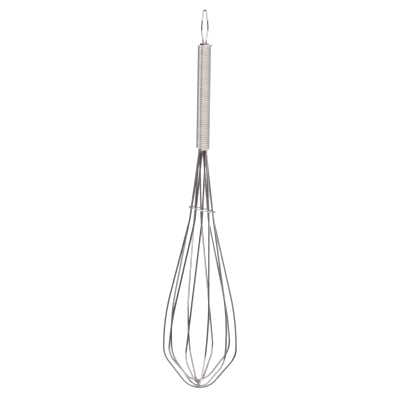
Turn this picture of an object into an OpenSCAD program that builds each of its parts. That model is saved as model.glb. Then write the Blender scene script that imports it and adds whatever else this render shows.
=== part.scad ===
// Balloon whisk with a close-wound wire handle and a hanging eye.
// Z runs up through the handle. The origin is inside the top of the eye, where a hook bears.
// Every piece is a bent wire: straight runs and true arcs, in millimetres.

/* [Overall] */
// Length from the bottom of the balloon to the top of the hanging eye
overall_len = 300; // [220:5:400]
// Outer width of the balloon at its widest
belly_w = 59.6; // [40:1:90]
// Length of the coiled handle
handle_len = 83; // [60:1:140]
// Height of the hanging eye above the handle
eye_len = 27.2; // [16:1:45]

/* [Wires] */
// Diameter of the whisk wires
wire_d = 1.5; // [1:0.05:2.4]
// Diameter of the wire that makes the hanging eye
eye_wire_d = 1.5; // [1:0.05:2.4]
// Diameter of the wire wound into the handle
coil_wire_d = 1.65; // [1:0.05:2.6]
// Diameter of the wire of the spreader ring
ring_wire_d = 1.1; // [0.7:0.1:2]
// Gap left between wires that only touch
touch_gap = 0.04; // [0.03:0.01:0.12]
// Gap left between the loops where they cross at the tip
tip_gap = 0.1; // [0.06:0.01:0.5]

/* [Balloon] */
// Turn of each loop about the axis, from the loop that lies lowest at the tip to the highest
loop_turns = [64, 26, -8.5, -42.5, -77]; // [-180:0.5:180]
// Angle of each loop's lower flank from the axis
flank_angles = [40, 46, 46, 45, 44]; // [38:1:50]
// How far both sides of each loop stand off its own plane, to the same side, as an angle
loop_bows = [6, -3, -3.5, 0, 0]; // [-6:0.5:6]
// Bend radius where each loop crosses the tip
tip_bend_r = 17; // [8:1:30]
// Bend radius from the flank into the widest part
belly_bend_r = 18; // [10:1:26]
// Height above the bottom of the balloon at which the legs turn in toward the handle
shoulder_h = 54; // [48:0.5:64]
// How far each leg has turned about the axis when it reaches the shoulder
shoulder_twist = 6; // [0:0.5:12]
// How far each leg has turned about the axis when it reaches the ring
ring_twist = 25; // [0:0.5:30]
// Largest bend radius of a leg below the ring
knee_bend_r = 30; // [10:1:60]
// Bend radius of a leg where it leaves the handle
neck_bend_r = 14; // [8:1:20]

/* [Spreader ring] */
// Distance from the bottom of the handle down to the ring
neck_len = 47; // [36:0.5:70]
// Distance from the axis to each leg at the ring
ring_leg_r = 8.85; // [6:0.05:14]
// Distance below the ring at which each leg bends outward
knee_drop = 8; // [6:0.5:12]
// Angle by which the ring sits out of level
ring_tilt = 11.5; // [0:0.5:15]
// Direction in which the ring dips
ring_turn = 70; // [0:5:180]

/* [Handle and eye] */
// Radius of the top bend of the eye
eye_top_r = 4.6; // [3:0.1:9]
// Inside width of the eye
eye_in_w = 12.6; // [8:0.1:24]
// Height of the eye's widest point above the handle
eye_wide_h = 13.6; // [8:0.1:30]
// Length of the bend by which each leg of the eye leaves the handle, up to the bend's corner
eye_neck_h = 2.3; // [1.5:0.1:6]
// How far the ends of the whisk wires stand out of the top of the handle
leg_stub = 0.8; // [0.2:0.1:3]

/* [Hidden] */
$fn = 64;
loop_count = len(loop_turns);
coil_steps = 16;
coil_sides = 6;

// Levels along the axis
top_z = eye_wire_d;
coil_top_z = top_z - eye_len;
coil_bottom_z = coil_top_z - handle_len;
tip_z = top_z - overall_len;
ring_z = coil_bottom_z - neck_len;
shoulder_z = tip_z + shoulder_h;

// Each loop crosses the tip just above the one before it
stack_pitch = wire_d + tip_gap;
function low_z(k) = tip_z + wire_d / 2 + k * stack_pitch;

// Inside the coil the ten legs and the eye's two legs stand side by side in one ring of places.
// The eye's legs take the places at 0 and 180 degrees, so the last loop skips one.
place_count = 2 * loop_count + 2;
place_step = 360 / place_count;
function place_angle(k) = place_step * (loop_count - 1 - k) - (k == loop_count - 1 ? place_step : 0);
place_width = max(wire_d, (wire_d + eye_wire_d) / 2) + touch_gap;
bundle_r = place_width / 2 / sin(place_step / 2);
bundle_out_r = bundle_r + max(wire_d, eye_wire_d) / 2 + touch_gap;
coil_in_r = bundle_out_r / cos(180 / coil_steps);
coil_mid_r = coil_in_r + coil_wire_d / 2;
coil_turns = floor(handle_len / (coil_wire_d + 0.07)) + 0.25;
coil_pitch = (handle_len - coil_wire_d) / coil_turns;
coil_start_turn = ring_turn - 90;

// Line of the legs: straight from the neck, past the ring, to the knee
belly_r = belly_w / 2 - wire_d / 2;
neck_z = coil_bottom_z - 1.5;
knee_z = ring_z - knee_drop;
knee_share = knee_drop / (neck_z - knee_z);
knee_r = (ring_leg_r - knee_share * bundle_r) / (1 - knee_share);
leg_lean = atan((knee_r - bundle_r) / (neck_z - knee_z));

// The ring lies around the outside of the legs, out of level, touching them at each end
ring_fit = ring_leg_r + (wire_d / 2 + ring_wire_d / 2 + touch_gap * 2) / cos(leg_lean);
ring_r = ring_fit / cos(ring_tilt);
ring_shift = ring_r * sin(ring_tilt) * tan(leg_lean);
ring_half_h = ring_r * sin(ring_tilt) + ring_wire_d / 2;

// A point given by its distance from the axis, its angle and its height
function polar(r, a, z) = [r * cos(a), r * sin(a), z];
function unit(v) = v / norm(v);
function angle_of(u, v) = acos(max(-1, min(1, u * v)));

// Each loop k has a side 0 and a side 1, and its flanks would meet at a point below the tip
function side_turn(k, s) = s == 0 ? loop_bows[k] : 180 - loop_bows[k];
function flank_dir(k, s) =
  let (f = flank_angles[k])
  polar(sin(f), side_turn(k, s), cos(f));
function apex_z(k) =
  let (half = angle_of(flank_dir(k, 0), flank_dir(k, 1)) / 2)
  let (up = unit(flank_dir(k, 0) + flank_dir(k, 1)))
  low_z(k) - tip_bend_r * (1 / sin(half) - 1) * up[2];

// Corners up a leg
function apex_pt(k) = [0, 0, apex_z(k)];
function belly_pt(k, s) = apex_pt(k) + flank_dir(k, s) * belly_r / sin(flank_angles[k]);
function shoulder_pt(k, s) = polar(belly_r, side_turn(k, s) + shoulder_twist, shoulder_z);
function knee_pt(s) = polar(knee_r, 180 * s + ring_twist, knee_z);
function neck_pt(k, s, z) = polar(bundle_r, 180 * s + place_angle(k) - loop_turns[k], z);

// The knee's bend ends below the ring, and the shoulder's bend runs straight on from the belly's
function knee_bend(k, s) =
  let (up = unit(neck_pt(k, s, neck_z) - knee_pt(s)))
  let (down = unit(shoulder_pt(k, s) - knee_pt(s)))
  min(knee_bend_r, (knee_drop - ring_half_h) * tan(angle_of(up, down) / 2));
function shoulder_bend(k, s) =
  let (down = unit(apex_pt(k) - belly_pt(k, s)))
  let (side = unit(belly_pt(k, s) - shoulder_pt(k, s)))
  let (up = unit(shoulder_pt(k, s) - knee_pt(s)))
  let (used = belly_bend_r * tan(angle_of(side, down) / 2))
  (norm(belly_pt(k, s) - shoulder_pt(k, s)) - used) / tan(angle_of(up, side) / 2);
function leg_pts(k, s) = [
  neck_pt(k, s, coil_top_z + leg_stub),
  neck_pt(k, s, neck_z),
  knee_pt(s),
  shoulder_pt(k, s),
  belly_pt(k, s)
];
function leg_bends(k, s) = [0, neck_bend_r, knee_bend(k, s), shoulder_bend(k, s), belly_bend_r];
function reversed(v) = [for (i = [len(v) - 1:-1:0]) v[i]];
function loop_pts(k) = concat(leg_pts(k, 0), [apex_pt(k)], reversed(leg_pts(k, 1)));
function loop_bends(k) = concat(leg_bends(k, 0), [tip_bend_r], reversed(leg_bends(k, 1)));

// Lays a child that points along +Z so that it runs from a point along a direction,
// with its own +X kept in the given sideways direction.
module aim(at, along, side) {
  y = cross(along, side);
  multmatrix([
    [side[0], y[0], along[0], at[0]],
    [side[1], y[1], along[1], at[1]],
    [side[2], y[2], along[2], at[2]],
    [0, 0, 0, 1]
  ])
    children();
}

// A direction square to the one given
function square_to(v) =
  let (c = abs(v[2]) < 0.9 ? cross(v, [0, 0, 1]) : cross(v, [1, 0, 0]))
  unit(c);

// Directions of the runs between corners, how far the wire turns at each corner,
// and how much of each run the bend at a corner takes
function dirs_of(pts) = [for (i = [0:len(pts) - 2]) unit(pts[i + 1] - pts[i])];
function turns_of(dirs) = concat(0, [for (i = [1:len(dirs) - 1]) angle_of(dirs[i - 1], dirs[i])], 0);
function cuts_of(turns, bends) = [for (i = [0:len(turns) - 1]) bends[i] * tan(turns[i] / 2)];

// Round wire bent through a list of corners, each with its own bend radius.
// A ball a hair wider than the wire closes every joint between a run and a bend.
module bent_wire(pts, bends, d) {
  dirs = dirs_of(pts);
  turns = turns_of(dirs);
  wire_so_far(pts, bends, d, dirs, turns, cuts_of(turns, bends), len(pts) - 2);
}

module joint_ball(at, d) {
  translate(at)
    sphere(d = d * 1.012);
}

// The wire from its first end to the end of run i
module wire_so_far(pts, bends, d, dirs, turns, cuts, i) {
  from = pts[i] + dirs[i] * cuts[i];
  to = pts[i + 1] - dirs[i] * cuts[i + 1];
  straight = norm(to - from) > 0.01;
  if (i == 0)
    aim(from, dirs[0], square_to(dirs[0]))
      cylinder(h = norm(to - from), d = d);
  else
    union() {
      wire_to_bend(pts, bends, d, dirs, turns, cuts, i);
      if (straight)
        aim(from, dirs[i], square_to(dirs[i]))
          cylinder(h = norm(to - from), d = d);
    }
}

// The wire from its first end to the end of the bend at corner i
module wire_to_bend(pts, bends, d, dirs, turns, cuts, i) {
  start = pts[i] - dirs[i - 1] * cuts[i];
  toward = unit(dirs[i] - dirs[i - 1] * (dirs[i] * dirs[i - 1]));
  centre = start + toward * bends[i];
  union() {
    union() {
      union() {
        wire_so_far(pts, bends, d, dirs, turns, cuts, i - 1);
        joint_ball(start, d);
      }
      aim(centre, cross(-toward, dirs[i - 1]), -toward)
        rotate_extrude(angle = turns[i])
          translate([bends[i], 0])
            circle(d = d);
    }
    joint_ball(pts[i] + dirs[i] * cuts[i], d);
  }
}

module whisk_loop(k) {
  color("Silver")
    rotate([0, 0, loop_turns[k]])
      bent_wire(loop_pts(k), loop_bends(k), wire_d);
}

module whisk_loop_1() {
  whisk_loop(0);
}

module whisk_loop_2() {
  whisk_loop(1);
}

module whisk_loop_3() {
  whisk_loop(2);
}

module whisk_loop_4() {
  whisk_loop(3);
}

module whisk_loop_5() {
  whisk_loop(4);
}

module spreader_ring() {
  color("Gainsboro")
    rotate([0, 0, ring_turn])
      translate([ring_shift, 0, ring_z])
        rotate([0, ring_tilt, 0])
          rotate_extrude()
            translate([ring_r, 0])
              circle(d = ring_wire_d);
}

// Close-wound coil: a round wire section carried along a helix, a quarter turn past whole turns
coil_total = coil_turns * coil_steps;
function coil_pt(i, j) =
  let (a = 360 * i / coil_steps)
  let (b = 360 * j / coil_sides)
  let (r = coil_mid_r + coil_wire_d / 2 * cos(b))
  [r * cos(a), r * sin(a), coil_pitch * i / coil_steps + coil_wire_d / 2 * sin(b)];
coil_pts = [for (i = [0:coil_total]) for (j = [0:coil_sides - 1]) coil_pt(i, j)];
coil_walls = [
  for (i = [0:coil_total - 1])
    for (j = [0:coil_sides - 1])
      let (n = (j + 1) % coil_sides)
      let (p = i * coil_sides)
      let (q = p + coil_sides)
      each [[p + j, q + n, p + n], [p + j, q + j, q + n]]
];
coil_start = [[for (j = [0:coil_sides - 1]) j]];
coil_end = [[for (j = [coil_sides - 1:-1:0]) coil_total * coil_sides + j]];

module handle_coil() {
  color("LightGray")
    translate([0, 0, coil_bottom_z + coil_wire_d / 2])
      rotate([0, 0, coil_start_turn])
        polyhedron(points = coil_pts, faces = concat(coil_start, coil_walls, coil_end));
}

// The eye is one wire: up one leg, around the top and down the other
eye_neck = [bundle_r, 0, coil_top_z + eye_neck_h + 0.2];
eye_side = [eye_in_w / 2 * 1.13 + eye_wire_d / 2, 0, coil_top_z + eye_wide_h];
eye_top = [eye_top_r * 0.85, 0, top_z - eye_wire_d / 2];
eye_leg_end = [bundle_r, 0, coil_bottom_z + 3];
function across(p) = [-p[0], p[1], p[2]];
eye_half = [eye_leg_end, eye_neck, eye_side, eye_top];
eye_pts = concat(eye_half, [for (p = reversed(eye_half)) across(p)]);

// The neck bends start just clear of the coil, and the side bends take nearly half of the run above
eye_turns = turns_of(dirs_of(eye_pts));
eye_neck_bend = eye_neck_h / tan(eye_turns[1] / 2);
eye_side_bend = 0.46 * norm(eye_side - eye_neck) / tan(eye_turns[2] / 2);
eye_half_bends = [0, eye_neck_bend, eye_side_bend, eye_top_r];
eye_bends = concat(eye_half_bends, reversed(eye_half_bends));

module hanging_loop() {
  color("Silver")
    bent_wire(eye_pts, eye_bends, eye_wire_d);
}

whisk_loop_1();
whisk_loop_2();
whisk_loop_3();
whisk_loop_4();
whisk_loop_5();
spreader_ring();
handle_coil();
hanging_loop();
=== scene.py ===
"""Balloon whisk: bright bent wire, with a close-wound handle and a hanging eye.

Every piece is made the way the real one is, by bending a round wire section along
straight runs and true arcs, so each wire has its own smooth mesh, cut ends and draw lines.
"""

import logging
import math
from dataclasses import dataclass
from enum import Enum
from typing import Any, Sequence

import bmesh
import bpy
from mathutils import Matrix, Quaternion, Vector


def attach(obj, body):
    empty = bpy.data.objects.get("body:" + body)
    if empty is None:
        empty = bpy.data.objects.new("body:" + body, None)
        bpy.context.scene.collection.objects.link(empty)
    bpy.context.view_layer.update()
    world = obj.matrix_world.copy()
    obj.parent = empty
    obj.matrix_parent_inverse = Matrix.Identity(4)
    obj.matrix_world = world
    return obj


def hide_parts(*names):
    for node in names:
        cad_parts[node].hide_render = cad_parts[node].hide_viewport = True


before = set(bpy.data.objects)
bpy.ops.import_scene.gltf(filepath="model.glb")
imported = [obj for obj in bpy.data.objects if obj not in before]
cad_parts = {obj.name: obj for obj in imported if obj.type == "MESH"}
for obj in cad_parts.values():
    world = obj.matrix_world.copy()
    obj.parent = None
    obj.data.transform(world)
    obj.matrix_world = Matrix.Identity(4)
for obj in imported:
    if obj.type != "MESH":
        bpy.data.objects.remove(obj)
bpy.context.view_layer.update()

MM = 0.001
UP = Vector((0, 0, 1))
WHOLE_TURN = 2 * math.pi
LOG = logging.getLogger("whisk")


# ---------------------------------------------------------------------------
# Shader graph helpers
# ---------------------------------------------------------------------------


class Link:
    """A node's output socket that can be used in Python arithmetic."""

    def __init__(self, graph: "Graph", socket: Any) -> None:
        """Keeps the graph that the socket is in.

        Args:
            graph: The graph that new Math nodes go to.
            socket: The output socket.
        """
        self.graph = graph
        self.socket = socket

    def _math(self, operation: str, *values: Any) -> "Link":
        """Adds a Math node.

        Args:
            operation: The Math node's operation.
            values: Links or numbers for its inputs.

        Returns:
            The node's value.
        """
        return self.graph.add("ShaderNodeMath", {"operation": operation}, values)[0]

    def __add__(self, other: Any) -> "Link":
        """Adds a value."""
        return self._math("ADD", self, other)

    __radd__ = __add__

    def __mul__(self, other: Any) -> "Link":
        """Multiplies by a value."""
        return self._math("MULTIPLY", self, other)

    __rmul__ = __mul__

    def __sub__(self, other: Any) -> "Link":
        """Takes a value away."""
        return self._math("SUBTRACT", self, other)

    def __rsub__(self, other: Any) -> "Link":
        """Is taken away from a value."""
        return self._math("SUBTRACT", other, self)

    def __abs__(self) -> "Link":
        """Loses its sign."""
        return self._math("ABSOLUTE", self)

    def turn(self, other: "Link") -> "Link":
        """The angle whose tangent is this over another value, in radians."""
        return self._math("ARCTAN2", self, other)

    def clamped(self) -> "Link":
        """Limits the value to 0 to 1."""
        return self.graph.add(
            "ShaderNodeMath", {"operation": "ADD", "use_clamp": True}, (self, 0.0)
        )[0]

    def ramp(self, low: float, high: float) -> "Link":
        """Rises smoothly from 0 at one value to 1 at another.

        Args:
            low: The value that gives 0.
            high: The value that gives 1.

        Returns:
            The smooth step.
        """
        return self.graph.add(
            "ShaderNodeMapRange",
            {"interpolation_type": "SMOOTHSTEP"},
            {"Value": self, "From Min": low, "From Max": high},
        )[0]


class Graph:
    """The node tree of one material or of the world."""

    def __init__(self, tree: Any) -> None:
        """Empties the tree.

        Args:
            tree: The node tree to fill.
        """
        self.tree = tree
        tree.nodes.clear()

    def add(
        self,
        kind: str,
        settings: dict[str, Any] | None = None,
        inputs: Sequence[Any] | dict[Any, Any] = (),
    ) -> list[Link]:
        """Adds a node.

        Args:
            kind: The node's type.
            settings: Its properties, which are set before its sockets.
            inputs: Links or values, by place or by socket name.

        Returns:
            Its outputs, in order.
        """
        node = self.tree.nodes.new(kind)
        for name, value in (settings or {}).items():
            if name == "stops":
                self._stops(node.color_ramp, value)
            else:
                setattr(node, name, value)
        pairs = inputs.items() if isinstance(inputs, dict) else enumerate(inputs)
        for key, value in pairs:
            if isinstance(value, Link):
                self.tree.links.new(value.socket, node.inputs[key])
            else:
                node.inputs[key].default_value = value
        return [Link(self, out) for out in node.outputs]

    @staticmethod
    def _stops(ramp: Any, stops: Sequence[tuple[float, tuple[float, ...]]]) -> None:
        """Fills a colour ramp.

        Args:
            ramp: The ramp.
            stops: Its places and colours.
        """
        while len(ramp.elements) > 1:
            ramp.elements.remove(ramp.elements[-1])
        ramp.elements[0].position, ramp.elements[0].color = stops[0]
        for place, colour in stops[1:]:
            ramp.elements.new(place).color = colour

    def mix(self, factor: Any, first: Any, second: Any) -> Link:
        """Mixes two colours.

        Args:
            factor: How much of the second to use.
            first: A link or a colour with alpha.
            second: A link or a colour with alpha.

        Returns:
            The mixed colour.
        """
        return self.add(
            "ShaderNodeMix", {"data_type": "RGBA"}, {0: factor, 6: first, 7: second}
        )[2]

    def stretched(self, place: Link, scale: tuple[float, float, float]) -> Link:
        """Scales a coordinate.

        Args:
            place: The coordinate.
            scale: Its scale along each axis.

        Returns:
            The scaled coordinate.
        """
        return self.add(
            "ShaderNodeVectorMath", {"operation": "MULTIPLY"}, (place, scale)
        )[0]

    def noise(self, place: Link, scale: float, detail: float = 3.0) -> Link:
        """Adds a noise texture.

        Args:
            place: The coordinate it reads.
            scale: Its scale.
            detail: Its octaves.

        Returns:
            Its value from 0 to 1.
        """
        return self.add(
            "ShaderNodeTexNoise", None, {"Vector": place, "Scale": scale, "Detail": detail}
        )[0]

    def surface(self, inputs: dict[str, Any]) -> None:
        """Ends a material with its shader.

        Args:
            inputs: The Principled shader's inputs, by name.
        """
        shader = self.add("ShaderNodeBsdfPrincipled", None, inputs)[0]
        self.add("ShaderNodeOutputMaterial", None, {"Surface": shader})

    def metal(self, colour: Link, roughness: Link, relief: dict[str, Any]) -> None:
        """Ends a material as bare metal with a relief.

        Args:
            colour: Its colour.
            roughness: Its roughness.
            relief: The Bump node's inputs, by name.
        """
        normal = self.add("ShaderNodeBump", None, relief)[0]
        self.surface(
            {
                "Base Color": colour,
                "Metallic": 1.0,
                "Roughness": roughness,
                "Normal": normal,
            }
        )


def start_material(name: str) -> tuple[bpy.types.Material, Graph]:
    """Makes an empty material.

    Args:
        name: Its name.

    Returns:
        The material and its graph.
    """
    material = bpy.data.materials.new(name)
    material.use_nodes = True
    return material, Graph(material.node_tree)


# ---------------------------------------------------------------------------
# Finishes
# ---------------------------------------------------------------------------


class Tone(Enum):
    """Colours of the bright metal, as reflectance."""

    STEEL = (0.61, 0.585, 0.575, 1.0)
    # INK to ROSE: lighter and darker tones of the loops' one steel, painted light and shade.
    INK = (0.46, 0.46, 0.50, 1.0)
    PLUM = (0.53, 0.505, 0.54, 1.0)
    STRAW = (0.69, 0.64, 0.585, 1.0)
    MAUVE = (0.63, 0.59, 0.60, 1.0)
    ROSE = (0.68, 0.63, 0.615, 1.0)
    SHADE = (0.31, 0.295, 0.305, 1.0)
    PLATE = (0.68, 0.66, 0.665, 1.0)
    NICKEL = (0.80, 0.765, 0.735, 1.0)
    NICKEL_SHADE = (0.66, 0.63, 0.58, 1.0)
    BLUE_STEEL = (0.62, 0.65, 0.70, 1.0)
    WELD = (0.30, 0.28, 0.27, 1.0)


@dataclass(frozen=True)
class Grain:
    """Noise that follows a wire.

    Attributes:
        across: How many waves there are to a millimetre across the wire.
        along: How many waves there are to a millimetre along it.
        detail: Its octaves.
        depth: How much it adds to the relief.
    """

    across: float
    along: float
    detail: float
    depth: float = 0.0

    def on(self, graph: Graph, wire: Link) -> Link:
        """The noise on a wire.

        Args:
            graph: The material's graph.
            wire: The place on the straightened wire, in millimetres.

        Returns:
            Its value from 0 to 1.
        """
        place = graph.stretched(wire, (self.across, self.across, self.along))
        return graph.noise(place, 1.0, self.detail)


@dataclass(frozen=True)
class WireFinish:
    """Bright drawn wire, with draw lines along it, handling marks and faint stain.

    Each reach gives the noise values between which a mark fades in.

    Attributes:
        name: The material's name.
        base: The clean metal's tone.
        stain: The tone of stained metal.
        roughness: Roughness of clean, smooth metal.
        roughness_spread: How much rougher marks and scuffs are.
        line_share: How much rougher the draw lines are, as a share of that.
        line_height: How deep the draw lines are.
        stain_amount: How strongly the patches of stain show.
        tip_darkening: How strongly the metal is made darker towards the tip.
        darkening_depths: How far below the hook that darkening starts, and where it is full.
        scuff_stain: How strongly the scuffs stain the metal.
        patch_scale: How many patches of stain there are to a metre.
        relief: How strongly the lines and marks show as a relief.
        draw_lines: Fine lines that the drawing die left.
        broad_lines: Broad lines that it left.
        handling_marks: Marks of use, about as long as they are wide.
        scuff_marks: Short scuffs along the wire.
        line_reach: Reach of the draw lines.
        mark_reach: Reach of the marks of use.
        scuff_reach: Reach of the scuffs.
        patch_reach: Reach of the patches of stain.
    """

    name: str
    base: Tone = Tone.STEEL
    stain: Tone = Tone.SHADE
    roughness: float = 0.07
    roughness_spread: float = 0.10
    line_share: float = 0.5
    line_height: float = 0.009 * MM
    stain_amount: float = 0.40
    tip_darkening: float = 0.0
    darkening_depths: tuple[float, float] = (0.15, 0.25)
    scuff_stain: float = 0.25
    patch_scale: float = 38.0
    relief: float = 0.35
    draw_lines: Grain = Grain(across=9.0, along=0.12, detail=4.0, depth=0.5)
    broad_lines: Grain = Grain(across=3.0, along=0.05, detail=2.0, depth=0.7)
    handling_marks: Grain = Grain(across=1.2, along=1.6, detail=5.0, depth=0.25)
    scuff_marks: Grain = Grain(across=6.0, along=1.1, detail=6.0)
    line_reach: tuple[float, float] = (0.35, 0.75)
    mark_reach: tuple[float, float] = (0.45, 0.75)
    scuff_reach: tuple[float, float] = (0.62, 0.74)
    patch_reach: tuple[float, float] = (0.42, 0.70)

    def build(self) -> bpy.types.Material:
        """Makes the material.

        Returns:
            The material, which reads the wire's own straightened place.
        """
        material, graph = start_material(self.name)
        wire = graph.add("ShaderNodeAttribute", {"attribute_name": "straight"})[1]
        place = graph.add("ShaderNodeTexCoord")[3]

        lines = self.draw_lines.on(graph, wire)
        broad = self.broad_lines.on(graph, wire)
        marks = self.handling_marks.on(graph, wire)
        scuffs = self.scuff_marks.on(graph, wire).ramp(*self.scuff_reach)
        patches = graph.noise(place, self.patch_scale).ramp(*self.patch_reach)
        depth = graph.add("ShaderNodeSeparateXYZ", None, (place,))[2] * -1
        # Darker towards the tip: the tone is pulled towards the stain tone by depth below the
        # hook.
        tip_dark = depth.ramp(*self.darkening_depths) * self.tip_darkening

        tint = (patches * self.stain_amount + scuffs * self.scuff_stain + tip_dark).clamped()
        colour = graph.mix(tint, self.base.value, self.stain.value)
        rough = (
            self.roughness
            + lines.ramp(*self.line_reach) * self.roughness_spread * self.line_share
            + marks.ramp(*self.mark_reach) * self.roughness_spread
            + scuffs * self.roughness_spread
        )
        height = (
            lines * self.draw_lines.depth
            + broad * self.broad_lines.depth
            + marks * self.handling_marks.depth
        )
        relief = {"Strength": self.relief, "Distance": self.line_height, "Height": height}
        graph.metal(colour, rough, relief)
        return material


@dataclass(frozen=True)
class WeldFinish:
    """Tack weld: bright metal, frozen with ripples, with blue and brown heat tints.

    Attributes:
        name: The material's name.
        ripple_scale: How many ripples there are to a metre.
        ripple_height: How high they stand.
        relief: How strongly they show as a relief.
        roughness: Roughness in the hollows of the ripples.
        roughness_spread: How much rougher their crests are.
        heat_scale: How many patches of heat tint there are to a metre.
        heat_tints: Tones of the heat tint, each at its place in the noise.
    """

    name: str
    ripple_scale: float = 2400.0
    ripple_height: float = 0.04 * MM
    relief: float = 0.6
    roughness: float = 0.22
    roughness_spread: float = 0.25
    heat_scale: float = 620.0
    heat_tints: tuple[tuple[float, Tone], ...] = (
        (0.30, Tone.BLUE_STEEL),
        (0.50, Tone.NICKEL),
        (0.72, Tone.WELD),
    )

    def build(self) -> bpy.types.Material:
        """Makes the material."""
        material, graph = start_material(self.name)
        place = graph.add("ShaderNodeTexCoord")[3]
        ripple = graph.noise(place, self.ripple_scale)
        heat = graph.noise(place, self.heat_scale, detail=2.0)
        stops = [(spot, tone.value) for spot, tone in self.heat_tints]
        colour = graph.add("ShaderNodeValToRGB", {"stops": stops}, {"Fac": heat})[0]
        relief = {"Strength": self.relief, "Distance": self.ripple_height, "Height": ripple}
        graph.metal(colour, self.roughness + ripple * self.roughness_spread, relief)
        return material


# ---------------------------------------------------------------------------
# Wire bending
# ---------------------------------------------------------------------------


NO_LENGTH = 1e-6  # metres; a shorter run is left out
NO_TURN = 1e-4  # radians; a smaller bend is left out
LEAST_ROWS = 3  # rows of faces in the smallest bend


@dataclass
class WireLine:
    """The line of a bent wire: corners, each with its own bend radius, in metres."""

    corners: list[Vector]
    bends: list[float]

    def __post_init__(self) -> None:
        """Works out the runs, the turns and how much of each run a bend takes."""
        pairs = zip(self.corners, self.corners[1:])
        self.ways = [(b - a).normalized() for a, b in pairs]
        inner = [a.angle(b) for a, b in zip(self.ways, self.ways[1:])]
        self.turns = [0.0, *inner, 0.0]
        self.cuts = [r * math.tan(t / 2) for r, t in zip(self.bends, self.turns)]

    def run(self, i: int) -> float:
        """Length of the straight run between corners i and i + 1."""
        whole = (self.corners[i + 1] - self.corners[i]).length
        return whole - self.cuts[i] - self.cuts[i + 1]


class WireTube:
    """Draws a round wire out along its line, keeping its straightened place."""

    def __init__(self, diameter: float, sides: int = 20) -> None:
        """Starts an empty mesh.

        Args:
            diameter: The wire's diameter in metres.
            sides: Faces round the wire.
        """
        self.mesh = bmesh.new()
        self.place = self.mesh.verts.layers.float_vector.new("straight")
        self.radius = diameter / 2
        self.sides = sides
        self.first: list[bmesh.types.BMVert] = []
        self.tip: list[bmesh.types.BMVert] = []

    def start(self, at: Vector, way: Vector, side: Vector | None = None) -> None:
        """Puts down the first section.

        Args:
            at: Its centre.
            way: The direction that the wire sets off in.
            side: A direction square to it, if the section's turn matters.
        """
        turn = way.to_track_quat("Z", "Y") if side is None else _facing(way, side)
        matrix = Matrix.Translation(at) @ turn.to_matrix().to_4x4()
        made = bmesh.ops.create_circle(
            self.mesh, radius=self.radius, segments=self.sides, matrix=matrix
        )
        self.first = self.tip = made["verts"]

    def edges_within(self, ring: Sequence[bmesh.types.BMVert]) -> list[bmesh.types.BMEdge]:
        """The edges that lie within a section, in the order of its points."""
        members = set(ring)
        edges = dict.fromkeys(e for v in ring for e in v.link_edges)
        return [e for e in edges if set(e.verts) <= members]

    def straight(self, way: Vector, length: float, steps: int) -> None:
        """Draws a straight run.

        Args:
            way: Its direction.
            length: Its length.
            steps: How many rows of faces it gets.
        """
        for _ in range(steps):
            edges = self.edges_within(self.tip)
            made = bmesh.ops.extrude_edge_only(self.mesh, edges=edges)
            fresh = {g for g in made["geom"] if isinstance(g, bmesh.types.BMVert)}
            self.tip = [_neighbour(v, fresh) for v in self.tip]
            bmesh.ops.translate(self.mesh, verts=self.tip, vec=way * (length / steps))

    def bend(
        self, centre: Vector, axis: Vector, angle: float, steps: int, rise: float = 0.0
    ) -> None:
        """Draws an arc, or a helix if it rises.

        Args:
            centre: The bend's centre.
            axis: Its axis.
            angle: How far it turns.
            steps: How many rows of faces it gets.
            rise: How far it climbs along the axis.
        """
        made = bmesh.ops.spin(
            self.mesh,
            geom=self.tip + self.edges_within(self.tip),
            cent=centre,
            axis=axis,
            dvec=axis.normalized() * (rise / steps),
            angle=angle,
            steps=steps,
            use_merge=False,
        )
        self.tip = [g for g in made["geom_last"] if isinstance(g, bmesh.types.BMVert)]

    def wind(self, centre: Vector, axis: Vector, times: int, steps: int, pitch: float) -> None:
        """Draws whole turns of a coil: one turn, then copies welded one to the next.

        Args:
            centre: The middle of the coil.
            axis: Its axis, of length 1.
            times: How many turns there are.
            steps: How many rows of faces a turn gets.
            pitch: How far each turn climbs.
        """
        seam, before = self.tip, set(self.mesh.faces)
        self.bend(centre, axis, WHOLE_TURN, steps, pitch)
        faces = [f for f in self.mesh.faces if f not in before]
        edges = dict.fromkeys(e for f in faces for e in f.edges)
        points = dict.fromkeys(v for e in edges for v in e.verts)
        block = [*points, *edges, *faces]
        last = self.tip
        for n in range(1, times):
            made = bmesh.ops.duplicate(self.mesh, geom=block)
            verts = [g for g in made["geom"] if isinstance(g, bmesh.types.BMVert)]
            bmesh.ops.translate(self.mesh, verts=verts, vec=axis * (pitch * n))
            copies = made["vert_map"]
            joints = {copies[v]: old for v, old in zip(seam, self.tip)}
            self.tip = [copies[v] for v in last]
            bmesh.ops.weld_verts(self.mesh, targetmap=joints)

    def follow(
        self, line: WireLine, row: float = 4 * MM, finest: float = math.radians(2.5)
    ) -> None:
        """Draws the whole wire along a line.

        Args:
            line: The line.
            row: The length of a row of faces on a straight run.
            finest: The most that one row of faces turns in a bend.
        """
        self.start(line.corners[0], line.ways[0])
        for i, way in enumerate(line.ways):
            if line.run(i) > NO_LENGTH:
                self.straight(way, line.run(i), max(1, round(line.run(i) / row)))
            if i + 1 < len(line.ways) and line.turns[i + 1] > NO_TURN:
                self._corner(line, i + 1, finest)

    def _corner(self, line: WireLine, i: int, finest: float) -> None:
        """Draws the bend at corner i of a line."""
        before, after = line.ways[i - 1], line.ways[i]
        begin = line.corners[i] - before * line.cuts[i]
        inward = (after - before * after.dot(before)).normalized()
        self.bend(
            begin + inward * line.bends[i],
            before.cross(after).normalized(),
            line.turns[i],
            max(LEAST_ROWS, math.ceil(line.turns[i] / finest)),
        )

    def cap(self, ring: list[bmesh.types.BMVert], round_off: float) -> None:
        """Closes an end with a cut face and rounds its edge.

        Args:
            ring: The end section.
            round_off: How far the edge is rounded.
        """
        edges = self.edges_within(ring)
        bmesh.ops.edgeloop_fill(self.mesh, edges=edges)
        bmesh.ops.bevel(
            self.mesh,
            geom=edges,
            offset=round_off,
            segments=3,
            profile=0.5,
            affect="EDGES",
            material=-1,
        )

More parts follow.
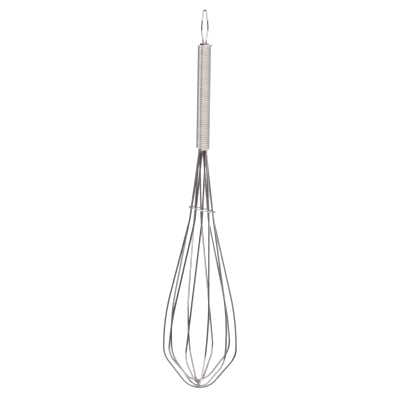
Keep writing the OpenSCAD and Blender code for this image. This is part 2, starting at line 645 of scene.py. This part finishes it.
    def unroll(self) -> None:
        """Writes each point's place on the straightened wire, in millimetres."""
        along, ring, seen = 0.0, list(self.first), set(self.first)
        while ring:
            for i, vert in enumerate(ring):
                turn = WHOLE_TURN * i / self.sides
                around = Vector((math.cos(turn), math.sin(turn), 0.0)) * self.radius
                vert[self.place] = Vector((around.x, around.y, along)) / MM
            onward = [_unseen(v, seen) for v in ring]
            if None in onward:
                break
            along += (_middle(onward) - _middle(ring)).length
            seen.update(onward)
            ring = onward

    def finish(self, name: str, cut: float = 0.22 * MM) -> bpy.types.Object:
        """Closes both ends and makes the object.

        Args:
            name: The object's name.
            cut: How far the cut ends are rounded.

        Returns:
            The object, at the origin.
        """
        self.unroll()
        for end in (self.first, self.tip):
            self.cap(end, cut)
        return make_object(name, self.mesh)


def _neighbour(vert: bmesh.types.BMVert, among: set[bmesh.types.BMVert]) -> bmesh.types.BMVert:
    """The point of a set that shares an edge with the one given."""
    return next(e.other_vert(vert) for e in vert.link_edges if e.other_vert(vert) in among)


def _unseen(
    vert: bmesh.types.BMVert, seen: set[bmesh.types.BMVert]
) -> bmesh.types.BMVert | None:
    """The next point along the wire from the one given, or None at its end."""
    others = (e.other_vert(vert) for e in vert.link_edges)
    return next((v for v in others if v not in seen), None)


def _middle(ring: Sequence[bmesh.types.BMVert]) -> Vector:
    """The middle of a section."""
    return sum((v.co for v in ring), Vector()) / len(ring)


def _facing(way: Vector, side: Vector) -> Quaternion:
    """The turn that points +Z along way and +X along side."""
    across = way.cross(side)
    return Matrix((side, across, way)).transposed().to_quaternion()


def polar(radius: float, angle: float, height: float) -> Vector:
    """A point by its distance from the axis, its angle in degrees and its height."""
    turn = math.radians(angle)
    return Vector((radius * math.cos(turn), radius * math.sin(turn), height))


def make_object(name: str, mesh: bmesh.types.BMesh) -> bpy.types.Object:
    """Turns a bmesh into a smooth-shaded object at the origin.

    Args:
        name: The object's name.
        mesh: The bmesh, which is freed.

    Returns:
        The object.
    """
    bmesh.ops.recalc_face_normals(mesh, faces=mesh.faces)
    for face in mesh.faces:
        face.smooth = True
    data = bpy.data.meshes.new(name)
    mesh.to_mesh(data)
    mesh.free()
    made = bpy.data.objects.new(name, data)
    bpy.context.scene.collection.objects.link(made)
    return made


def dress(
    piece: bpy.types.Object, node: str, slot: str, *materials: bpy.types.Material
) -> None:
    """Gives a piece its finish and its place in the frame.

    Args:
        piece: The piece.
        node: The CAD node that it stands for.
        slot: The record's material slot; not used.
        materials: Its materials, in slot order.
    """
    for material in materials:
        piece.data.materials.append(material)
    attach(piece, "root")
    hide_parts(node)
    LOG.info("%s: %d faces", piece.name, len(piece.data.polygons))


# ---------------------------------------------------------------------------
# The whisk
# ---------------------------------------------------------------------------


@dataclass(frozen=True)
class Levels:
    """Sizes that the pieces share, and the heights and radii that follow from them.

    Heights are from the inside of the eye's top bend, where a hook bears.

    Attributes:
        length: Length of the whisk, from the balloon's tip to the top of the eye.
        eye: Height of the eye above the handle.
        handle: Length of the coiled handle.
        spread: How far below the handle the legs start to spread.
        ring_drop: How far below the handle the middle of the spreader ring lies.
        wire: Diameter of the wire of the loops and the eye.
        coil_wire: Diameter of the wire wound into the handle.
        ring_wire: Diameter of the wire of the spreader ring.
        gap: Gap left between wires that only touch.
        stub: How far the loops' ends stand out of the top of the handle.
        loops: How many loops the balloon has.
    """

    length: float = 300 * MM
    eye: float = 27.2 * MM
    handle: float = 83 * MM
    spread: float = 1.5 * MM
    ring_drop: float = 47 * MM
    wire: float = 1.5 * MM
    coil_wire: float = 1.65 * MM
    ring_wire: float = 1.1 * MM
    gap: float = 0.04 * MM
    stub: float = 0.8 * MM
    loops: int = 5

    @property
    def top(self) -> float:
        """Height of the top of the eye."""
        return self.wire

    @property
    def tip(self) -> float:
        """Height of the lowest point of the balloon."""
        return self.top - self.length

    @property
    def coil_top(self) -> float:
        """Height of the top of the handle."""
        return self.top - self.eye

    @property
    def coil_low(self) -> float:
        """Height of the lower end of the handle."""
        return self.coil_top - self.handle

    @property
    def neck(self) -> float:
        """Height at which the legs start to spread."""
        return self.coil_low - self.spread

    @property
    def ring(self) -> float:
        """Height of the middle of the spreader ring."""
        return self.coil_low - self.ring_drop

    @property
    def places(self) -> int:
        """How many legs stand in one ring inside the coil: the loops' and the eye's."""
        return 2 * self.loops + 2

    @property
    def bundle(self) -> float:
        """Distance from the axis to each leg inside the coil."""
        return (self.wire + self.gap) / 2 / math.sin(math.pi / self.places)


@dataclass
class Balloon:
    """The wire loops that make the balloon, from the lowest at the tip to the highest.

    Attributes:
        levels: The shared sizes.
        width: The balloon's outer width.
        turns: Each loop's turn about the axis, in degrees.
        flanks: Angle of each loop's lower flanks from the axis, in degrees.
        bows: How far both sides of each loop stand off its own plane, in degrees.
        tip_gap: Gap left between the loops where they cross at the tip.
        tip_bend: Bend radius of each loop at the tip.
        belly_bend: Bend radius from the flank into the widest part.
        shoulder_height: Height above the tip at which the legs turn in to the handle.
        shoulder_twist: How far a leg has turned about the axis at the shoulder.
        ring_twist: How far it has turned about the axis at the ring.
        knee_bend: Largest bend radius of a leg below the ring.
        knee_drop: Distance below the ring at which a leg bends outward.
        neck_bend: Bend radius of a leg where it leaves the handle.
        ring_leg: Distance from the axis to each leg at the ring.
    """

    levels: Levels
    width: float = 59.6 * MM
    turns: tuple[float, ...] = (64, 26, -8.5, -42.5, -77)
    flanks: tuple[float, ...] = (40, 46, 46, 45, 44)
    bows: tuple[float, ...] = (6, -3, -3.5, 0, 0)
    tip_gap: float = 0.1 * MM
    tip_bend: float = 17 * MM
    belly_bend: float = 18 * MM
    shoulder_height: float = 54 * MM
    shoulder_twist: float = 6.0
    ring_twist: float = 25.0
    knee_bend: float = 30 * MM
    knee_drop: float = 8 * MM
    neck_bend: float = 14 * MM
    ring_leg: float = 8.85 * MM

    @property
    def knee_radius(self) -> float:
        """Distance from the axis to the corner at which a leg bends outward."""
        share = self.knee_drop / (self.levels.neck - self.levels.ring + self.knee_drop)
        return (self.ring_leg - share * self.levels.bundle) / (1 - share)

    @property
    def lean(self) -> float:
        """Angle of a leg from the axis where it passes the ring."""
        rise = self.levels.neck - self.levels.ring + self.knee_drop
        return math.atan((self.knee_radius - self.levels.bundle) / rise)

    def place(self, loop: int) -> float:
        """The angle of a loop's first leg inside the coil, in degrees."""
        step = 360.0 / self.levels.places
        last = self.levels.loops - 1
        return step * (last - loop) - (step if loop == last else 0.0)

    def apex(self, loop: int, ways: Sequence[Vector]) -> Vector:
        """The point below the tip where a loop's flanks would meet.

        Args:
            loop: The loop, counted from the lowest at the tip.
            ways: The directions of its two flanks.

        Returns:
            The point.
        """
        levels = self.levels
        low = levels.tip + levels.wire / 2 + loop * (levels.wire + self.tip_gap)
        half = ways[0].angle(ways[1]) / 2
        up = (ways[0] + ways[1]).normalized()
        return Vector((0, 0, low - self.tip_bend * (1 / math.sin(half) - 1) * up.z))

    def half(self, loop: int, side: int, room: float) -> tuple[list[Vector], list[float]]:
        """One side of a loop, from the top of its leg down to the widest part.

        Args:
            loop: The loop.
            side: Its side, 0 or 1.
            room: Height that the bend at the knee can take up.

        Returns:
            Its corners and their bend radii.
        """
        levels = self.levels
        belly = (self.width - levels.wire) / 2
        ways = self.flank_ways(loop)
        apex = self.apex(loop, ways)
        widest = apex + ways[side] * (belly / math.sin(math.radians(self.flanks[loop])))
        turn = 180 * side + self.bows[loop] * (1 - 2 * side)
        shoulder = polar(belly, turn + self.shoulder_twist, levels.tip + self.shoulder_height)
        knee_turn = 180 * side + self.ring_twist
        knee = polar(self.knee_radius, knee_turn, levels.ring - self.knee_drop)
        leg = 180 * side + self.place(loop) - self.turns[loop]
        neck = polar(levels.bundle, leg, levels.neck)
        end = polar(levels.bundle, leg, levels.coil_top + levels.stub)
        down, over = (apex - widest).normalized(), (widest - shoulder).normalized()
        up = (shoulder - knee).normalized()
        knee_angle = (knee - neck).angle(shoulder - knee)
        knee_bend = min(self.knee_bend, room / math.tan(knee_angle / 2))
        used = self.belly_bend * math.tan(over.angle(down) / 2)
        shoulder_bend = ((widest - shoulder).length - used) / math.tan(up.angle(over) / 2)
        corners = [end, neck, knee, shoulder, widest]
        return corners, [0.0, self.neck_bend, knee_bend, shoulder_bend, self.belly_bend]

    def flank_ways(self, loop: int) -> list[Vector]:
        """The directions of a loop's two flanks, up from the tip."""
        flank = math.radians(self.flanks[loop])
        bow = self.bows[loop]
        return [polar(math.sin(flank), a, math.cos(flank)) for a in (bow, 180 - bow)]

    def line(self, loop: int, room: float) -> WireLine:
        """The line of a loop.

        Args:
            loop: The loop.
            room: Height that the bends at its knees can take up.

        Returns:
            Its line.
        """
        first, second = (self.half(loop, side, room) for side in (0, 1))
        corners = first[0] + [self.apex(loop, self.flank_ways(loop))] + second[0][::-1]
        turn = Matrix.Rotation(math.radians(self.turns[loop]), 3, "Z")
        bends = first[1] + [self.tip_bend] + second[1][::-1]
        return WireLine([turn @ p for p in corners], bends)

    def build(self, finishes: Sequence[bpy.types.Material], room: float) -> None:
        """Builds and dresses the loops.

        Args:
            finishes: The material of each loop.
            room: Height that the bends at the knees can take up.
        """
        for loop in range(self.levels.loops):
            tube = WireTube(self.levels.wire)
            tube.follow(self.line(loop, room))
            piece = tube.finish(f"whisk_wire_{loop + 1}")
            dress(piece, f"whisk_loop_{loop + 1}", "whisk_wire", finishes[loop])


@dataclass
class SpreaderRing:
    """The thin ring round the legs, with a tack weld at each leg.

    Attributes:
        levels: The shared sizes.
        balloon: The loops that it is welded to.
        tilt: Angle by which it sits out of level, in degrees.
        turn: Direction in which it dips, in degrees.
        sides: Faces round its wire.
        steps: Rows of faces round the ring.
        bead: Half the length, height and thickness of a bead of weld.
        bead_shift: How far a bead's middle lies outside the leg's surface.
    """

    levels: Levels
    balloon: Balloon
    tilt: float = 11.5
    turn: float = 70.0
    sides: int = 18
    steps: int = 144
    bead: tuple[float, float, float] = (0.85 * MM, 0.62 * MM, 0.42 * MM)
    bead_shift: float = 0.1 * MM

    @property
    def radius(self) -> float:
        """The ring's radius, to the middle of its wire."""
        levels = self.levels
        wires = (levels.wire + levels.ring_wire) / 2 + levels.gap * 2
        fit = self.balloon.ring_leg + wires / math.cos(self.balloon.lean)
        return fit / math.cos(math.radians(self.tilt))

    @property
    def room(self) -> float:
        """Height between the knees and the lowest point of the ring."""
        droop = self.radius * math.sin(math.radians(self.tilt)) + self.levels.ring_wire / 2
        return self.balloon.knee_drop - droop

    def matrix(self) -> Matrix:
        """Where the ring lies."""
        tilt = math.radians(self.tilt)
        shift = self.radius * math.sin(tilt) * math.tan(self.balloon.lean)
        return (
            Matrix.Rotation(math.radians(self.turn), 4, "Z")
            @ Matrix.Translation((shift, 0, self.levels.ring))
            @ Matrix.Rotation(tilt, 4, "Y")
        )

    def build(self, wire: bpy.types.Material, weld: bpy.types.Material) -> None:
        """Builds and dresses the ring and its welds.

        Args:
            wire: The ring's finish.
            weld: The welds' finish.
        """
        matrix = self.matrix()
        tube = WireTube(self.levels.ring_wire, self.sides)
        tube.start(Vector((self.radius, 0, 0)), Vector((0, 1, 0)))
        rows = self.steps - 1
        tube.bend(Vector(), UP, WHOLE_TURN * rows / self.steps, rows)
        edges = tube.edges_within(tube.first) + tube.edges_within(tube.tip)
        tube.unroll()
        bmesh.ops.bridge_loops(tube.mesh, edges=edges)
        bmesh.ops.transform(tube.mesh, matrix=matrix, verts=tube.mesh.verts)
        for loop in range(self.levels.loops):
            for side in (0, 1):
                self._weld(tube.mesh, matrix, loop, side)
        piece = make_object("spreader_ring_wire", tube.mesh)
        dress(piece, "spreader_ring", "ring_wire", wire, weld)

    def _weld(self, mesh: bmesh.types.BMesh, matrix: Matrix, loop: int, side: int) -> None:
        """Adds the bead of metal between the ring and one leg.

        Args:
            mesh: The ring's mesh.
            matrix: Where the ring lies.
            loop: The loop.
            side: Which of its legs.
        """
        line = self.balloon.line(loop, self.room)
        ends = line.corners[1:3] if side == 0 else line.corners[-2:-4:-1]
        height = self.levels.ring
        # The leg's place and the ring's height there depend on each other, and soon agree.
        for _ in range(3):
            leg = ends[0].lerp(ends[1], (ends[0].z - height) / (ends[0].z - ends[1].z))
            flat = matrix.inverted() @ leg
            near = matrix @ (Vector((flat.x, flat.y, 0)).normalized() * self.radius)
            height = near.z
        out = (near - leg).normalized()
        middle = leg + out * (self.levels.wire / 2 + self.bead_shift)
        turn = _facing(out, out.cross(UP).normalized())
        place = Matrix.Translation(middle) @ turn.to_matrix().to_4x4()
        size = Matrix.Diagonal((*self.bead, 1.0))
        made = bmesh.ops.create_uvsphere(
            mesh, u_segments=16, v_segments=10, radius=1.0, matrix=place @ size
        )
        for face in {f for v in made["verts"] for f in v.link_faces}:
            face.material_index = 1


@dataclass
class HandleCoil:
    """The wire that is wound close around the bundle of legs.

    Attributes:
        levels: The shared sizes.
        turns: How many turns it has.
        start_turn: Angle about the axis at which the winding starts, in degrees.
        sides: Faces round its wire.
        steps: Rows of faces to a turn.
        cad_steps: Straight steps to a turn of the CAD coil, which must clear the legs.
        tail: Length of the straight end at the bottom.
        spring_angle: How much of the top turn springs open, in degrees.
        spring_radius: Bend radius of the part that springs open.
        end_rounding: How far the cut ends are rounded.
    """

    levels: Levels
    turns: float = 48.25
    start_turn: float = -20.0
    sides: int = 16
    steps: int = 44
    cad_steps: int = 16
    tail: float = 1.2 * MM
    spring_angle: float = 60.0
    spring_radius: float = 6.1 * MM
    end_rounding: float = 0.25 * MM

    @property
    def radius(self) -> float:
        """The coil's radius, to the middle of its wire."""
        levels = self.levels
        inner = levels.bundle + levels.wire / 2 + levels.gap
        return inner / math.cos(math.pi / self.cad_steps) + levels.coil_wire / 2

    @property
    def pitch(self) -> float:
        """How far each turn climbs."""
        levels = self.levels
        return (levels.coil_top - levels.coil_low - levels.coil_wire) / self.turns

    def build(self, finish: bpy.types.Material) -> None:
        """Builds and dresses the coil.

        Args:
            finish: The wire's finish.
        """
        levels = self.levels
        middle = UP * (levels.coil_low + levels.coil_wire / 2)
        tube = WireTube(levels.coil_wire, self.sides)
        out = polar(1.0, self.start_turn, 0)
        way = UP.cross(out)
        tube.start(middle + out * self.radius - way * self.tail, way, out)
        tube.straight(way, self.tail, steps=2)
        tube.wind(middle, UP, int(self.turns), self.steps, self.pitch)
        self._finish_turn(tube, middle)
        piece = tube.finish("handle_winding", self.end_rounding)
        dress(piece, "handle_coil", "handle_wire", finish)

    def _finish_turn(self, tube: WireTube, middle: Vector) -> None:
        """Draws the part turn at the top, whose end springs out from the bundle.

        Args:
            tube: The coil so far.
            middle: The middle of its lower end.
        """
        close = (self.turns - int(self.turns)) * 360 - self.spring_angle
        opening = self.radius - self.spring_radius
        sprung = middle + polar(opening, self.start_turn + close, 0)
        for centre, angle in ((middle, close), (sprung, self.spring_angle)):
            share = angle / 360
            steps = round(self.steps * share)
            tube.bend(centre, UP, math.radians(angle), steps, self.pitch * share)


@dataclass
class HangingLoop:
    """The wire eye, with both legs running down inside the coil.

    Attributes:
        levels: The shared sizes.
        inside_width: Inside width of the eye.
        top_bend: Bend radius of its top.
        wide_height: Height of its widest point above the handle.
        neck_height: Length of the bend by which a leg leaves the handle.
        neck_rise: How far above the handle that bend starts.
        leg_end: How far above the coil's lower end the legs stop.
        side_swell: How far out a side's corner lies, as a share of half the inside width.
        top_share: How far out a top corner lies, as a share of the top's bend radius.
        side_share: How much of the run below it a side's bend takes up.
    """

    levels: Levels
    inside_width: float = 12.6 * MM
    top_bend: float = 4.6 * MM
    wide_height: float = 13.6 * MM
    neck_height: float = 2.3 * MM
    neck_rise: float = 0.2 * MM
    leg_end: float = 3 * MM
    side_swell: float = 1.13
    top_share: float = 0.85
    side_share: float = 0.46

    def line(self) -> WireLine:
        """The line of the eye's wire."""
        levels = self.levels
        wide = self.inside_width / 2 * self.side_swell + levels.wire / 2
        end = Vector((levels.bundle, 0, levels.coil_low + self.leg_end))
        neck = Vector((levels.bundle, 0, levels.coil_top + self.neck_height + self.neck_rise))
        side = Vector((wide, 0, levels.coil_top + self.wide_height))
        top = Vector((self.top_bend * self.top_share, 0, levels.top - levels.wire / 2))
        half = [end, neck, side, top]
        corners = half + [Vector((-p.x, p.y, p.z)) for p in reversed(half)]
        ways = [(b - a).normalized() for a, b in zip(half, half[1:])]
        neck_bend = self.neck_height / math.tan(ways[0].angle(ways[1]) / 2)
        run = (side - neck).length
        side_bend = self.side_share * run / math.tan(ways[1].angle(ways[2]) / 2)
        bends = [0.0, neck_bend, side_bend, self.top_bend]
        return WireLine(corners, bends + bends[::-1])

    def build(self, finish: bpy.types.Material) -> None:
        """Builds and dresses the eye.

        Args:
            finish: The wire's finish.
        """
        tube = WireTube(self.levels.wire)
        tube.follow(self.line())
        piece = tube.finish("hanging_eye_wire")
        dress(piece, "hanging_loop", "eye_wire", finish)


# ---------------------------------------------------------------------------
# The studio
# ---------------------------------------------------------------------------


class Tint(Enum):
    """Casts of the light from the room."""

    MAUVE = (1.0, 0.95, 0.97)
    TAN = (1.0, 0.93, 0.84)
    NAVY = (0.93, 0.93, 1.10)
    CREAM = (1.0, 0.975, 0.94)
    SAGE = (0.98, 1.0, 0.97)

    def at(self, level: float) -> tuple[float, ...]:
        """The cast at a brightness, as a colour with alpha."""
        return tuple(level * v for v in self.value) + (1.0,)


@dataclass
class Studio:
    """A pale floor, soft light all round and the camera.

    Attributes:
        levels: The whisk's heights.
        azimuth: Angle of the camera about the axis, in degrees.
        elevation: How far above the level it stands, in degrees.
        distance: How far from the whisk it stands.
        view_height: Height of what it sees at that distance.
        roll: How far it is turned about its own line of sight, in degrees.
        centre_height: Height of the point that it looks at.
        centre_side: How far to the right of the axis that point lies.
        sensor: Width of its sensor, in millimetres.
        sight: The farthest that it sees.
        floor_size: Half the floor's width.
        floor_drop: How far the floor lies below the balloon.
        floor_glow: How much light the floor adds of its own.
    """

    levels: Levels
    azimuth: float = 70.0
    elevation: float = 5.0
    distance: float = 1.7
    view_height: float = 315.3 * MM
    roll: float = 0.95
    centre_height: float = -148.2 * MM
    centre_side: float = -1.5 * MM
    sensor: float = 36.0
    sight: float = 50.0
    floor_size: float = 0.55
    floor_drop: float = 0.25
    floor_glow: float = 0.45

    def build(self) -> None:
        """Builds the floor, the light and the camera."""
        self._floor()
        Room(self._right()).build()
        self._camera()

    def _away(self) -> Vector:
        """The direction from the whisk to the camera."""
        turn, rise = math.radians(self.azimuth), math.radians(self.elevation)
        level = math.cos(rise)
        return Vector((math.sin(turn) * level, -math.cos(turn) * level, math.sin(rise)))

    def _right(self) -> Vector:
        """The direction across the view."""
        turn = math.radians(self.azimuth)
        return Vector((math.cos(turn), math.sin(turn), 0))

    def _camera(self) -> None:
        """Puts the camera where it sees the whisk nearly level."""
        data = bpy.data.cameras.new("camera")
        data.sensor_width = self.sensor
        data.lens = self.sensor * self.distance / self.view_height
        data.clip_end = self.sight
        camera = bpy.data.objects.new("camera", data)
        bpy.context.scene.collection.objects.link(camera)
        away = self._away()
        look = UP * self.centre_height + self._right() * self.centre_side
        camera.location = look + away * self.distance
        turn = (-away).to_track_quat("-Z", "Y").to_matrix()
        turn = turn @ Matrix.Rotation(math.radians(self.roll), 3, "Z")
        camera.rotation_euler = turn.to_euler()
        bpy.context.scene.camera = camera

    def _floor(self) -> None:
        """Lays the floor below the balloon."""
        mesh = bmesh.new()
        bmesh.ops.create_grid(mesh, x_segments=1, y_segments=1, size=self.floor_size)
        drop = UP * (self.levels.tip - self.floor_drop)
        bmesh.ops.translate(mesh, verts=mesh.verts, vec=drop)
        floor = make_object("floor", mesh)
        material, graph = start_material("pale_floor")
        graph.surface(
            {
                "Base Color": (0.95, 0.95, 0.95, 1),
                "Roughness": 0.9,
                "Emission Color": (1, 1, 1, 1),
                "Emission Strength": self.floor_glow,
            }
        )
        floor.data.materials.append(material)


@dataclass
class Room:
    """The light from the room: panels all round, with a dim front and a dim back.

    The front and the back are dim only near the level, where the wires mirror them. Each
    reach gives the values between which a part of the room fades in: how far a direction
    points toward the camera or away from it, or up, or across times up.

    Attributes:
        right: The direction across the view.
        panels: The room all round: degrees from the camera's side, to the right, then
            brightness and cast.
        level_reach: How far up or down the front and the back fade out.
        behind_reach: How far away from the camera the back fades in.
        behind: Brightness of the back.
        front_reach: How far toward the camera the front fades in.
        front_skew: How far the front leans over, so that wires that lean left and
            right differ.
        seam: How far below level the brighter strip across the front lies.
        seam_reach: How far above and below its middle the strip fades into the dark.
        seam_light: Brightness of the strip.
        dark: Brightness of the dark front above and below the strip.
        lean_reach: Where the front brightens, at its upper right and lower left.
        lean_light: Brightness there.
        ground: Brightness of the plain ground behind the whisk, as the camera sees it.
    """

    right: Vector
    level_reach: tuple[float, float] = (0.38, 0.54)
    behind_reach: tuple[float, float] = (0.72, 0.95)
    behind: float = 0.45
    front_reach: tuple[float, float] = (-0.20, 0.0)
    front_skew: float = 3.0
    seam: float = 0.03
    seam_reach: tuple[float, float] = (0.05, 0.15)
    seam_light: float = 0.40
    dark: float = 0.06
    lean_reach: tuple[float, float] = (0.0, 0.09)
    lean_light: float = 0.58
    ground: float = 1.2
    panels: tuple[tuple[float, float, Tint], ...] = (
        (-180, 0.40, Tint.MAUVE),
        (-118, 0.35, Tint.MAUVE),
        (-100, 0.60, Tint.MAUVE),
        (-88, 2.40, Tint.MAUVE),
        (-72, 2.40, Tint.MAUVE),
        (-66, 0.05, Tint.MAUVE),
        (-46, 0.03, Tint.MAUVE),
        (-38, 1.10, Tint.CREAM),
        (-26, 1.80, Tint.CREAM),
        (5, 1.80, Tint.CREAM),
        (30, 1.58, Tint.CREAM),
        (60, 1.38, Tint.CREAM),
        (90, 1.05, Tint.SAGE),
        (125, 0.75, Tint.SAGE),
        (150, 0.50, Tint.SAGE),
        (180, 0.40, Tint.MAUVE),
    )

    def build(self) -> None:
        """Makes the world's light."""
        world = bpy.data.worlds.new("studio")
        bpy.context.scene.world = world
        world.use_nodes = True
        graph = Graph(world.node_tree)
        way = graph.add("ShaderNodeTexCoord")[0]
        across = self._dot(graph, way, self.right)
        toward = self._dot(graph, way, self.right.cross(UP))
        up = self._dot(graph, way, UP)
        lean = across * up
        level = 1 - abs(up).ramp(*self.level_reach)
        behind = (toward * -1).ramp(*self.behind_reach) * level
        front = (toward - lean * self.front_skew).ramp(*self.front_reach) * level
        glow = graph.mix(behind, self._panels(graph, across, toward), Tint.MAUVE.at(self.behind))
        glow = graph.mix(front, glow, self._front(graph, up, lean))
        seen = graph.add("ShaderNodeLightPath")[0]
        ground = (self.ground, self.ground, self.ground, 1.0)
        colour = graph.mix(seen, glow, ground)
        sky = graph.add("ShaderNodeBackground", None, {"Color": colour})[0]
        graph.add("ShaderNodeOutputWorld", None, {"Surface": sky})

    def _panels(self, graph: Graph, across: Link, toward: Link) -> Link:
        """The light of the panels.

        Args:
            graph: The world's graph.
            across: How far the direction points across the view.
            toward: How far it points toward the camera.

        Returns:
            The light's colour.
        """
        turn = across.turn(toward) * (1 / WHOLE_TURN) + 0.5
        stops = [(0.5 + angle / 360, tint.at(level)) for angle, level, tint in self.panels]
        return graph.add("ShaderNodeValToRGB", {"stops": stops}, {"Fac": turn})[0]

    def _front(self, graph: Graph, up: Link, lean: Link) -> Link:
        """The light straight in front of the whisk.

        Args:
            graph: The world's graph.
            up: How far the direction points up.
            lean: Its way across times its way up.

        Returns:
            The light's colour.
        """
        off_seam = abs(up + self.seam).ramp(*self.seam_reach)
        shade = graph.mix(off_seam, Tint.MAUVE.at(self.seam_light), Tint.NAVY.at(self.dark))
        return graph.mix(lean.ramp(*self.lean_reach), shade, Tint.TAN.at(self.lean_light))

    @staticmethod
    def _dot(graph: Graph, way: Link, axis: Vector) -> Link:
        """How far a direction points along an axis."""
        return graph.add(
            "ShaderNodeVectorMath", {"operation": "DOT_PRODUCT"}, (way, tuple(axis))
        )[1]


# Painted light and shade: the loops are one steel, but each gets its own lighter or darker tone
# for the light that its wire catches.
LOOP_PAINTED_LIGHT_TONES = (Tone.INK, Tone.PLUM, Tone.STRAW, Tone.MAUVE, Tone.ROSE)
# How much darker the loops are made towards the tip.
TIP_DARKENING = 0.42


def main() -> None:
    """Builds the whisk and the studio around it."""
    logging.basicConfig(level=logging.INFO, format="%(name)s: %(message)s")
    bpy.context.scene.view_settings.view_transform = "Standard"
    levels = Levels()
    balloon = Balloon(levels)
    ring = SpreaderRing(levels, balloon)
    loop_wires = [
        WireFinish(f"whisk_wire_finish_{loop + 1}", tone, tip_darkening=TIP_DARKENING).build()
        for loop, tone in enumerate(LOOP_PAINTED_LIGHT_TONES)
    ]
    ring_wire = WireFinish("ring_wire_finish", Tone.BLUE_STEEL, Tone.STEEL).build()
    handle_wire = WireFinish(
        "handle_wire_finish",
        Tone.NICKEL,
        Tone.NICKEL_SHADE,
        roughness=0.10,
        roughness_spread=0.06,
        line_height=0.004 * MM,
    ).build()
    eye_wire = WireFinish("eye_wire_finish", Tone.PLATE, Tone.STEEL).build()
    balloon.build(loop_wires, ring.room)
    ring.build(ring_wire, WeldFinish("tack_weld_finish").build())
    HandleCoil(levels).build(handle_wire)
    HangingLoop(levels).build(eye_wire)
    Studio(levels).build()


if __name__ == "__main__":
    main()
